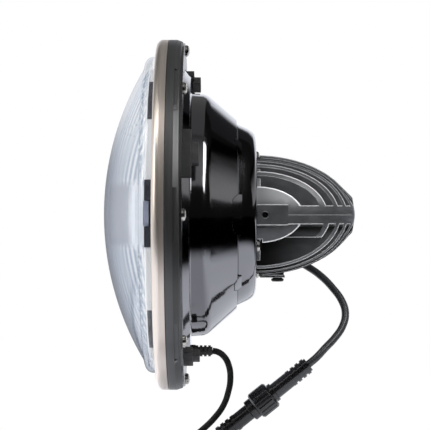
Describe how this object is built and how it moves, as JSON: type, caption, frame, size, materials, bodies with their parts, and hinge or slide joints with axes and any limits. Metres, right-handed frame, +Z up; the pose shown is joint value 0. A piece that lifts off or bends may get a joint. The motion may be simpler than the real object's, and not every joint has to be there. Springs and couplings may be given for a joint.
{
  "type": "motorcycle headlight insert",
  "caption": "Round LED motorcycle headlight insert with a domed fluted lens, polished bezel, stepped black housing, finned heatsink and two leads with connectors.",
  "frame": {"origin": "on the optical axis, at the middle of the straight band round the rim", "axes": "+X runs backwards along the optical axis, from the lens to the heatsink, and +Z is up"},
  "size_m": [0.128, 0.178, 0.214],
  "materials": {
    "lens": "clear polycarbonate, fluted inside",
    "bezel": "polished, slightly warm",
    "ring": "dark satin",
    "black_plate": "black satin",
    "screw": "bright",
    "lug": "matt, slightly rough",
    "trim": "bright",
    "insert": "dark",
    "bar": "dark",
    "guide": "pale, slightly milky",
    "reflector": "mirror",
    "carrier": "plain",
    "board": "white solder mask",
    "chip": "phosphor",
    "driver": "green solder mask",
    "component": "matt",
    "housing": "gloss black",
    "seal": "matt",
    "heatsink": "dark grey satin coating",
    "cord": "smooth, dark grey",
    "braid": "black braid",
    "connector": "matt",
    "red_ring": "matt",
    "blade": "tinned"
  },
  "bodies": {
    "root": {"lens": "lens", "lens_seal": "seal", "bezel": "bezel", "rim_ring": "ring", "retaining_plate": "black_plate", "ring_screws": "screw", "locating_lug_1": "lug", "locating_lug_2": "lug", "locating_lug_3": "lug", "locating_lug_4": "lug", "inner_trim": "trim", "trim_inserts": "insert", "bar_frame": "bar", "light_guide": "guide", "guide_board": "board", "reflector": "reflector", "led_carrier": "carrier", "led_board_top": "board", "led_board_bottom": "board", "led_chips_top": "chip", "led_chips_bottom": "chip", "driver_board": "driver", "driver_parts": "component", "pan": "housing", "pan_seal": "seal", "rear_cap": "housing", "cap_seal": "seal", "cap_screws": "screw", "heatsink": "heatsink", "sink_screws": "screw", "breather_plate": "heatsink", "breather_plug": "component", "cable_gland": "component", "main_cord": "cord", "plug_boot": "connector", "plug_body": "connector", "coupling_nut": "connector", "coupling_ring": "red_ring", "socket_body": "connector", "socket_boot": "connector", "pigtail_cord": "cord", "pigtail_coil": "cord", "lamp_plug": "component", "plug_blades": "blade", "marker_boot": "component", "marker_cord": "braid", "marker_coil": "braid", "marker_plug": "component"}
  },
  "joints": []
}
